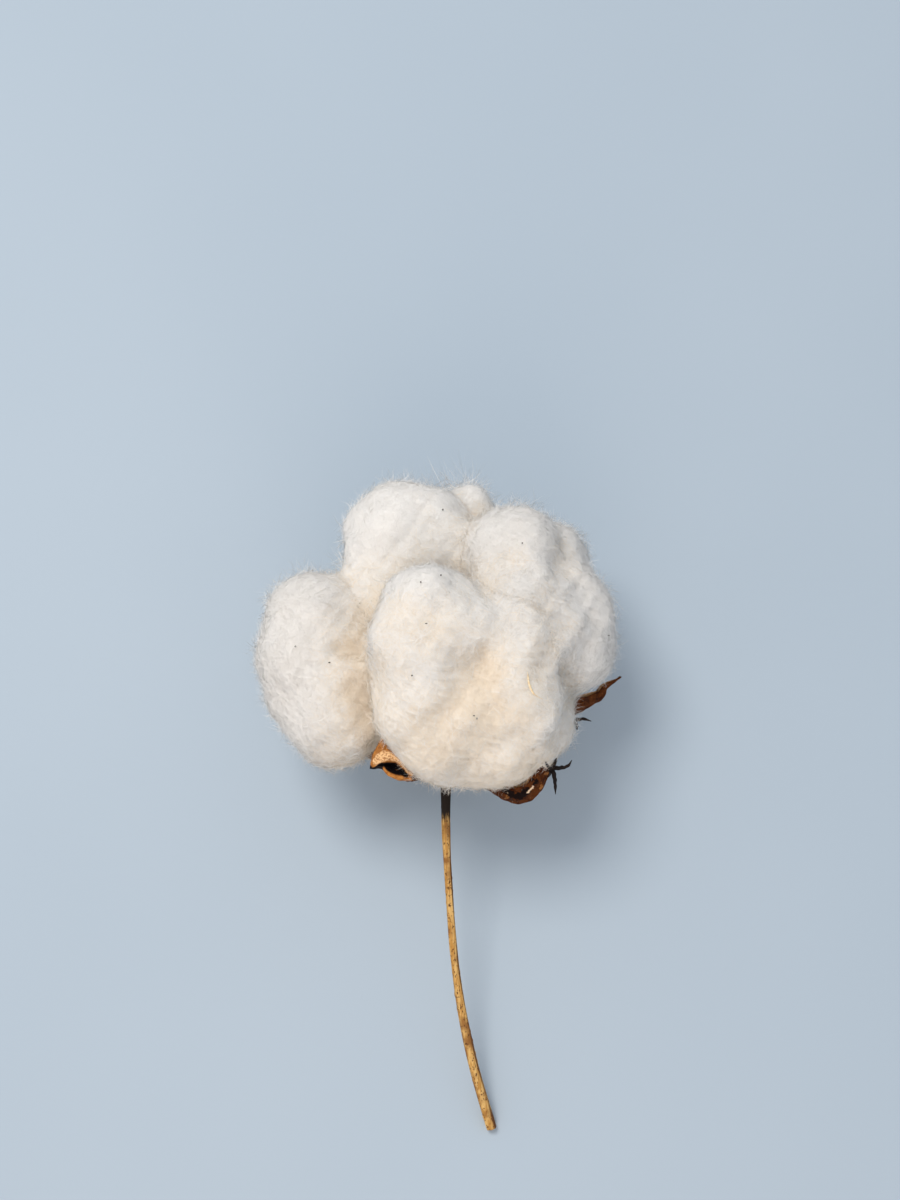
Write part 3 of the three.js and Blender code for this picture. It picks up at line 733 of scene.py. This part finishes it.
# The cream attribute lays painted shade, with some uneven tone, over the lint's white.
cream = add(tree, "ShaderNodeAttribute", attribute_name="cream").outputs["Fac"]
wandering = noise(tree, boll_place(tree), 0.35, 4)
wandering = add(
    tree, "ShaderNodeMath", {0: wandering, 1: 0.3, 2: cream}, operation="MULTIPLY_ADD"
).outputs[0]
colour = ramp(tree, wandering, 0.15, 1.15, LINT_WHITE, LINT_CREAM)
tree.links.new(colour, shader.inputs["Base Color"])
relief(tree, shader, noise(tree, boll_place(tree), 2.2, 6, 0.7), 0.3)

lock_bodies = {}
for lock, name in enumerate(LOCKS):
    lock_bodies[name] = lock_body(lock, name, lint)
    seat(lock_bodies[name], "lint", f"lock_{name}")

# The fuzz is the loose fibre on the outside of every lock: flat, twisted, hair-fine ribbons some
# millimetres long. They lie along the lint in soft swirls, and their ends stand off it as wisps.
FIBRE_LENGTH = 4.6 * MM
FIBRE_WIDTH = 0.042 * MM
FIBRE_LIFT = 0.38 * MM
FIBRE_CURL = 1.6 * MM
CURL_SIZE = 1.4 * MM
FIBRE_POINTS = 5
FIBRE_COUNT = 24600  # on each lock
TUFT_SPACING = 4 * MM
SWIRL_SIZE = 9 * MM
BODY_CURVE = 11 * MM  # the radius that a lying fibre bends round
STRAYING = 2.6  # how far a fibre strays from the swirl that it lies in
STANDING = (4.5, 11.0)  # how many lifts the ends stand off, between tufts and on them
STANDING_RARITY = 3.2  # how few of them do
BROAD_RARITY = 6.0  # how few fibres are as broad as two
SHADE_SPREAD = 0.6  # how unevenly the fibres catch the light
LIT_FROM_ABOVE = 0.15
FUZZ_SEED = 11


def new_tree(name, sizes):
    """A Geometry Nodes tree with a mesh in and out, and named inputs of the given socket types."""
    made = bpy.data.node_groups.new(name, "GeometryNodeTree")
    made.interface.new_socket("Mesh", in_out="INPUT", socket_type="NodeSocketGeometry")
    for label, kind in sizes.items():
        made.interface.new_socket(label, in_out="INPUT", socket_type=kind)
    made.interface.new_socket("Mesh", in_out="OUTPUT", socket_type="NodeSocketGeometry")
    return made, made.nodes.new("NodeGroupInput").outputs


def maths(tree, operation, *values):
    """The result of a sum on numbers."""
    return add(tree, "ShaderNodeMath", dict(enumerate(values)), operation=operation).outputs[0]


def vectors(tree, operation, *values):
    """The result of a sum on vectors. A scale is the fourth input."""
    numbers = dict(enumerate(values))
    if operation == "SCALE":
        numbers = {0: values[0], 3: values[1]}
    return add(tree, "ShaderNodeVectorMath", numbers, operation=operation).outputs[0]


def chance(tree, seed, low, high, number):
    """A number drawn for each point, between low and high."""
    drawn = maths(tree, "ADD", seed, number)
    return add(tree, "FunctionNodeRandomValue", {2: low, 3: high, 8: drawn}, data_type="FLOAT").outputs[1]


fuzz, given = new_tree("lint fuzz", {
    "Density": "NodeSocketFloat",
    "Length": "NodeSocketFloat",
    "Width": "NodeSocketFloat",
    "Lift": "NodeSocketFloat",
    "Curl": "NodeSocketFloat",
    "Seed": "NodeSocketInt",
    "White": "NodeSocketMaterial",
    "Cream": "NodeSocketMaterial",
})
openness = add(fuzz, "GeometryNodeInputNamedAttribute", {"Name": "open"}, data_type="FLOAT").outputs[0]
scattered = add(fuzz, "GeometryNodeDistributePointsOnFaces", {
    "Mesh": given["Mesh"],
    "Density": maths(fuzz, "MULTIPLY", openness, given["Density"]),
    "Seed": given["Seed"],
})
place = add(fuzz, "GeometryNodeInputPosition").outputs[0]
swirl = add(fuzz, "ShaderNodeTexNoise", {
    "Vector": place, "Scale": 1 / SWIRL_SIZE, "Detail": 2.0,
}).outputs["Color"]
loose = add(
    fuzz, "FunctionNodeRandomValue", {0: (-0.5, -0.5, -0.5), 1: (0.5, 0.5, 0.5), 8: given["Seed"]},
    data_type="FLOAT_VECTOR",
).outputs[0]
swirl = vectors(fuzz, "SUBTRACT", swirl, (0.5, 0.5, 0.5))
lean = vectors(fuzz, "ADD", swirl, vectors(fuzz, "SCALE", loose, STRAYING))
along = vectors(fuzz, "NORMALIZE", vectors(fuzz, "CROSS_PRODUCT", scattered.outputs["Normal"], lean))
length = maths(fuzz, "MULTIPLY", given["Length"], chance(fuzz, given["Seed"], 0.45, 1.4, 1))
tufted = add(fuzz, "ShaderNodeTexNoise", {
    "Vector": place, "Scale": 1 / TUFT_SPACING, "Detail": 1.0,
}).outputs["Fac"]
wild = add(fuzz, "ShaderNodeMapRange", {
    "Value": tufted, "From Min": 0.45, "From Max": 0.75, "To Min": STANDING[0], "To Max": STANDING[1],
}).outputs[0]
rare = maths(fuzz, "POWER", chance(fuzz, given["Seed"], 0, 1, 2), STANDING_RARITY)
rare = maths(fuzz, "MULTIPLY", wild, rare)
wildness = add(fuzz, "GeometryNodeInputNamedAttribute", {"Name": "wild"}, data_type="FLOAT").outputs[0]
rise = maths(fuzz, "MULTIPLY", rare, wildness)
rise = maths(fuzz, "ADD", rise, chance(fuzz, given["Seed"], -0.6, 1.6, 3))
rise = maths(fuzz, "MULTIPLY", given["Lift"], rise)
bend = maths(fuzz, "MULTIPLY", length, chance(fuzz, given["Seed"], -0.8, 0.8, 4))
hug = maths(fuzz, "DIVIDE", chance(fuzz, given["Seed"], 0.1, 1.25, 5), 2 * BODY_CURVE)
lie = chance(fuzz, given["Seed"], -1.1, 1.1, 6)
twist = chance(fuzz, given["Seed"], -2.0, 2.0, 7)
broad = maths(fuzz, "POWER", chance(fuzz, given["Seed"], 0, 1, 9), BROAD_RARITY)
broad = maths(fuzz, "MULTIPLY_ADD", broad, 1.2, 0.8)
shift = vectors(fuzz, "SCALE", loose, 3 * CURL_SIZE)
creaminess = add(fuzz, "GeometryNodeInputNamedAttribute", {"Name": "cream"}, data_type="FLOAT").outputs[0]

kept = fuzz.nodes.new("GeometryNodeCaptureAttribute")
kept.domain = "POINT"
fuzz.links.new(scattered.outputs["Points"], kept.inputs["Geometry"])
held = {}
for label, kind, source in (
    ("root", "VECTOR", place),
    ("up", "VECTOR", scattered.outputs["Normal"]),
    ("along", "VECTOR", along),
    ("shift", "VECTOR", shift),
    ("length", "FLOAT", length),
    ("rise", "FLOAT", rise),
    ("bend", "FLOAT", bend),
    ("hug", "FLOAT", hug),
    ("lie", "FLOAT", lie),
    ("twist", "FLOAT", twist),
    ("broad", "FLOAT", broad),
    ("cream", "FLOAT", creaminess),
    ("share", "FLOAT", chance(fuzz, given["Seed"], 0.1, 1.0, 8)),
):
    kept.capture_items.new(kind, label)
    fuzz.links.new(source, kept.inputs[label])
    held[label] = kept.outputs[label]

flat = add(fuzz, "GeometryNodeMeshGrid", {
    "Size X": 1.0, "Size Y": 2.0, "Vertices X": FIBRE_POINTS, "Vertices Y": 2,
})
strip = fuzz.nodes.new("GeometryNodeCaptureAttribute")
strip.capture_items.new("VECTOR", "on strip")
fuzz.links.new(flat.outputs["Mesh"], strip.inputs["Geometry"])
fuzz.links.new(add(fuzz, "GeometryNodeInputPosition").outputs[0], strip.inputs["on strip"])
strips = add(fuzz, "GeometryNodeInstanceOnPoints", {
    "Points": kept.outputs["Geometry"], "Instance": strip.outputs["Geometry"],
}).outputs[0]
loose_strips = add(fuzz, "GeometryNodeRealizeInstances", {"Geometry": strips}).outputs[0]

on_strip = add(fuzz, "ShaderNodeSeparateXYZ", {0: strip.outputs["on strip"]}).outputs
from_middle, edge = on_strip["X"], on_strip["Y"]
from_end = maths(fuzz, "ADD", from_middle, 0.5)
squared = maths(fuzz, "MULTIPLY", from_middle, from_middle)
run = maths(fuzz, "MULTIPLY", from_middle, held["length"])
side_way = vectors(fuzz, "CROSS_PRODUCT", held["up"], held["along"])
arch = maths(fuzz, "MULTIPLY", held["rise"], maths(fuzz, "POWER", from_end, 1.6))
fall = maths(fuzz, "MULTIPLY", held["hug"], maths(fuzz, "MULTIPLY", run, run))
path = vectors(fuzz, "ADD", held["root"], vectors(fuzz, "SCALE", held["along"], run))
bow = maths(fuzz, "MULTIPLY", held["bend"], squared)
path = vectors(fuzz, "ADD", path, vectors(fuzz, "SCALE", side_way, bow))
path = vectors(fuzz, "ADD", path, vectors(fuzz, "SCALE", held["up"], maths(fuzz, "SUBTRACT", arch, fall)))
wave = add(fuzz, "ShaderNodeTexNoise", {
    "Vector": vectors(fuzz, "ADD", path, held["shift"]), "Scale": 1 / CURL_SIZE, "Detail": 1.0,
}).outputs["Color"]
wave = vectors(fuzz, "SUBTRACT", wave, (0.5, 0.5, 0.5))
path = vectors(fuzz, "ADD", path, vectors(fuzz, "SCALE", wave, given["Curl"]))

slant = maths(fuzz, "MULTIPLY_ADD", held["twist"], from_middle, held["lie"])
across = vectors(
    fuzz, "ADD",
    vectors(fuzz, "SCALE", side_way, maths(fuzz, "COSINE", slant)),
    vectors(fuzz, "SCALE", held["up"], maths(fuzz, "SINE", slant)),
)
taper = maths(fuzz, "MULTIPLY", maths(fuzz, "MULTIPLY", squared, squared), 13.0)
taper = maths(fuzz, "SUBTRACT", 1.0, taper)
taper = maths(fuzz, "MULTIPLY", held["broad"], taper)
half_width = maths(fuzz, "MULTIPLY", maths(fuzz, "MULTIPLY", given["Width"], 0.5), taper)
path = vectors(fuzz, "ADD", path, vectors(fuzz, "SCALE", across, maths(fuzz, "MULTIPLY", edge, half_width)))
over_floor = vectors(fuzz, "MAXIMUM", path, (-1.0, -1.0, 0.05 * MM))
laid = add(fuzz, "GeometryNodeSetPosition", {"Geometry": loose_strips, "Position": over_floor}).outputs[0]

smooth = add(fuzz, "GeometryNodeSetShadeSmooth", {"Geometry": laid}).outputs[0]
uneven = vectors(fuzz, "SCALE", held["shift"], SHADE_SPREAD / (3 * CURL_SIZE))
facing = vectors(fuzz, "ADD", held["up"], uneven)
facing = vectors(fuzz, "NORMALIZE", vectors(fuzz, "ADD", facing, (0, 0, LIT_FROM_ABOVE)))
turned = add(
    fuzz, "GeometryNodeSetMeshNormal", {"Mesh": smooth, "Custom Normal": facing}, mode="FREE", domain="POINT"
).outputs[0]

# Painted shade on the fuzz: fibres where the lint's cream, mostly painted shade, outweighs a drawn share are
# given the cream material.
is_cream = add(
    fuzz, "FunctionNodeCompare", {0: held["cream"], 1: held["share"]},
    data_type="FLOAT", operation="GREATER_THAN",
).outputs[0]
coloured = add(fuzz, "GeometryNodeSetMaterial", {"Geometry": turned, "Material": given["White"]}).outputs[0]
coloured = add(
    fuzz, "GeometryNodeSetMaterial", {"Geometry": coloured, "Selection": is_cream, "Material": given["Cream"]}
).outputs[0]
add(fuzz, "NodeGroupOutput", {"Mesh": coloured})

fibre_materials = {}
for label, base in (("White", LINT_WHITE), ("Cream", LINT_CREAM)):
    fibre_materials[label], *_ = new_material(
        f"fibre_{label.lower()}",
        Base_Color=(*base, 1), Roughness=0.9, Specular_IOR_Level=0.15, Sheen_Weight=0.1,
    )


def grow(tree, source, name, values):
    """The plain mesh that a tree makes from a source object, with its inputs set to the values."""
    holder = bpy.data.objects.new(name, source.data)
    bpy.context.scene.collection.objects.link(holder)
    modifier = holder.modifiers.new(name, "NODES")
    modifier.node_group = tree
    for label, value in values.items():
        modifier[tree.interface.items_tree[label].identifier] = value
    bpy.context.view_layer.update()
    depsgraph = bpy.context.evaluated_depsgraph_get()
    mesh = bpy.data.meshes.new_from_object(holder.evaluated_get(depsgraph), depsgraph=depsgraph)
    holder.modifiers.clear()
    holder.data = mesh
    mesh.name = name
    return holder


for number, (name, body) in enumerate(lock_bodies.items()):
    open_values = np.empty(len(body.data.vertices), np.float32)
    body.data.attributes["open"].data.foreach_get("value", open_values)
    areas = np.array([face.area for face in body.data.polygons])
    corners = np.array([face.vertices[:] for face in body.data.polygons])
    open_area = (areas * open_values[corners].mean(1)).sum()
    tangle = grow(fuzz, body, f"lock_{name}_fuzz", {
        "Density": float(FIBRE_COUNT / open_area),
        "Length": FIBRE_LENGTH,
        "Width": FIBRE_WIDTH,
        "Lift": FIBRE_LIFT,
        "Curl": FIBRE_CURL,
        "Seed": FUZZ_SEED + number,
        "White": fibre_materials["White"],
        "Cream": fibre_materials["Cream"],
    })
    seat(tangle, "lint")

# A few specks of broken leaf and bark have blown onto the lint and stick in its fibres. Each is a
# small dark flake, dropped onto the lint from above. A thin pale sliver of husk lies there as well,
# with a hair of fibre at its lower end.
SPECKS = [  # each flake's place seen from above and its half size, in mm
    (-30.8, 32, 0.18), (-23.8, 28.7, 0.18), (-4.9, 45.5, 0.24), (-0.9, 46.8, 0.13), (-0.6, 60.2, 0.18),
    (-3.8, 37.3, 0.18), (-6.6, 27, 0.18), (5.7, 18.8, 0.18), (6.3, 18.2, 0.18), (15.9, 53.2, 0.18),
    (34.3, 33.7, 0.18),
]
SLIVER = [(16.5, 27.4), (16.6, 26), (16.8, 24.9), (17.2, 23.9), (17.9, 22.9), (19.5, 21.9)]
SLIVER_RADII = [0.07, 0.18, 0.22, 0.18, 0.06, 0.04]
SLIVER_FLATNESS = 0.45
LIFT_OFF = 0.25  # how far above the dense lint they lie, in its fibres
DROP_HEIGHT = 40  # from which a speck is let down, and in how many steps
DROP_STEPS = 801
SPECK_SEED = 97
SLIVER_RINGS = 60
SLIVER_SIDES = 12

speck_brown, tree, shader = new_material("speck_brown", Roughness=0.8)
colour = ramp(tree, noise(tree, boll_place(tree), 3), 0.35, 0.65, (0.02, 0.013, 0.01), (0.06, 0.035, 0.02))
tree.links.new(colour, shader.inputs["Base Color"])
sliver_husk, tree, shader = new_material("sliver_husk", Roughness=0.8)
colour = ramp(tree, noise(tree, boll_place(tree), 2), 0.35, 0.65, (0.92, 0.76, 0.5), (0.8, 0.58, 0.33))
tree.links.new(colour, shader.inputs["Base Color"])


def lint_height(x, y):
    """How high the dense lint lies at a place seen from above, in the boll's own frame."""
    fall = np.linspace(DROP_HEIGHT, 0, DROP_STEPS)
    column = np.stack([np.full(len(fall), x), np.full(len(fall), y), fall], -1)
    return fall[np.argmax(boll_depth(lint_depth(column)) < LINT_INSET)]


rng = np.random.default_rng(SPECK_SEED)
flakes = []
for x, y, size in SPECKS:
    bpy.ops.mesh.primitive_ico_sphere_add(subdivisions=2, radius=1)
    flake = bpy.context.object
    ball = np.empty(len(flake.data.vertices) * 3)
    flake.data.vertices.foreach_get("co", ball)
    ball = ball.reshape(-1, 3)
    stretch = size * rng.uniform(0.6, 1.3, 3) * (1 + 0.25 * ripple(ball, 1.4, 7)[:, None])
    flake.data.vertices.foreach_set("co", lay(ball * stretch + (x, y, lint_height(x, y) + LIFT_OFF)).ravel())
    flake.data.materials.append(speck_brown)
    flakes.append(flake)
specks = join(flakes)
specks.name = specks.data.name = "specks_brown"
seat(specks, "bract")

middle = spline([(x, y, lint_height(x, y) + LIFT_OFF) for x, y in SLIVER], SLIVER_RINGS)
normal, binormal = frames_along(middle, UPWARD)
angles = round_ring(SLIVER_SIDES)[None]
reach = between(SLIVER_RADII, np.linspace(0, 1, len(middle)))[:, None]
rings = swept(middle, normal, binormal, SLIVER_FLATNESS * reach * np.cos(angles), reach * np.sin(angles))
seat(skin("sliver_of_husk", rings, sliver_husk), "bract")

# The floor is a wide pale sheet, and the light is soft: a large key lamp up and to the left, a wide
# weaker one beyond the stalk's end, and an even pale surround. The camera looks down on the boll.
FOCAL_LENGTH = 52.0
FLOOR_WIDTH = 12
LIT_PLACE = (0, 0.03, 0.03)  # about the middle of the lint, that the lamps look at
CAMERA_PLACE = (0.926, 54.859, 371.203)  # in the boll's own frame, in mm
CAMERA_PITCH = math.radians(12.85)  # how far it leans from straight down

floor_paper, tree, shader = new_material("floor_paper", Roughness=0.9)
mottling = noise(tree, boll_place(tree), 0.004, 3)
colour = ramp(tree, mottling, 0.3, 0.7, (0.41, 0.49, 0.57), (0.44, 0.52, 0.6))
tree.links.new(colour, shader.inputs["Base Color"])
bpy.ops.mesh.primitive_plane_add(size=FLOOR_WIDTH)
floor = bpy.context.object
floor.name = "floor"
floor.data.materials.append(floor_paper)


def lamp(name, place, size, power, colour):
    """A round soft lamp that looks from a place at the boll."""
    data = bpy.data.lights.new(name, "AREA")
    data.shape = "DISK"
    data.size = size
    data.energy = power
    data.color = colour
    made = bpy.data.objects.new(name, data)
    made.location = place
    aim = np.asarray(LIT_PLACE) - np.asarray(place)
    made.rotation_mode = "QUATERNION"
    made.rotation_quaternion = Vector(aim).to_track_quat("-Z", "Y")
    bpy.context.scene.collection.objects.link(made)


lamp("key", (-0.25, 0.27, 0.78), 0.36, 4.15, (1.0, 0.94, 0.87))
lamp("fill", (-0.1, -0.6, 0.4), 0.6, 1.3, (1.0, 0.82, 0.66))

world = bpy.data.worlds.new("surround")
world.use_nodes = True
world.node_tree.nodes["Background"].inputs["Color"].default_value = (0.88, 0.93, 1.0, 1)
world.node_tree.nodes["Background"].inputs["Strength"].default_value = 0.62
bpy.context.scene.world = world
bpy.context.scene.view_settings.view_transform = "Standard"

lens = bpy.data.cameras.new("camera")
lens.lens = FOCAL_LENGTH
camera = bpy.data.objects.new("camera", lens)
camera.location = lay(CAMERA_PLACE)
camera.rotation_euler = (CAMERA_PITCH, 0, 0)
lens.clip_start = 0.01
bpy.context.scene.collection.objects.link(camera)
bpy.context.scene.camera = camera
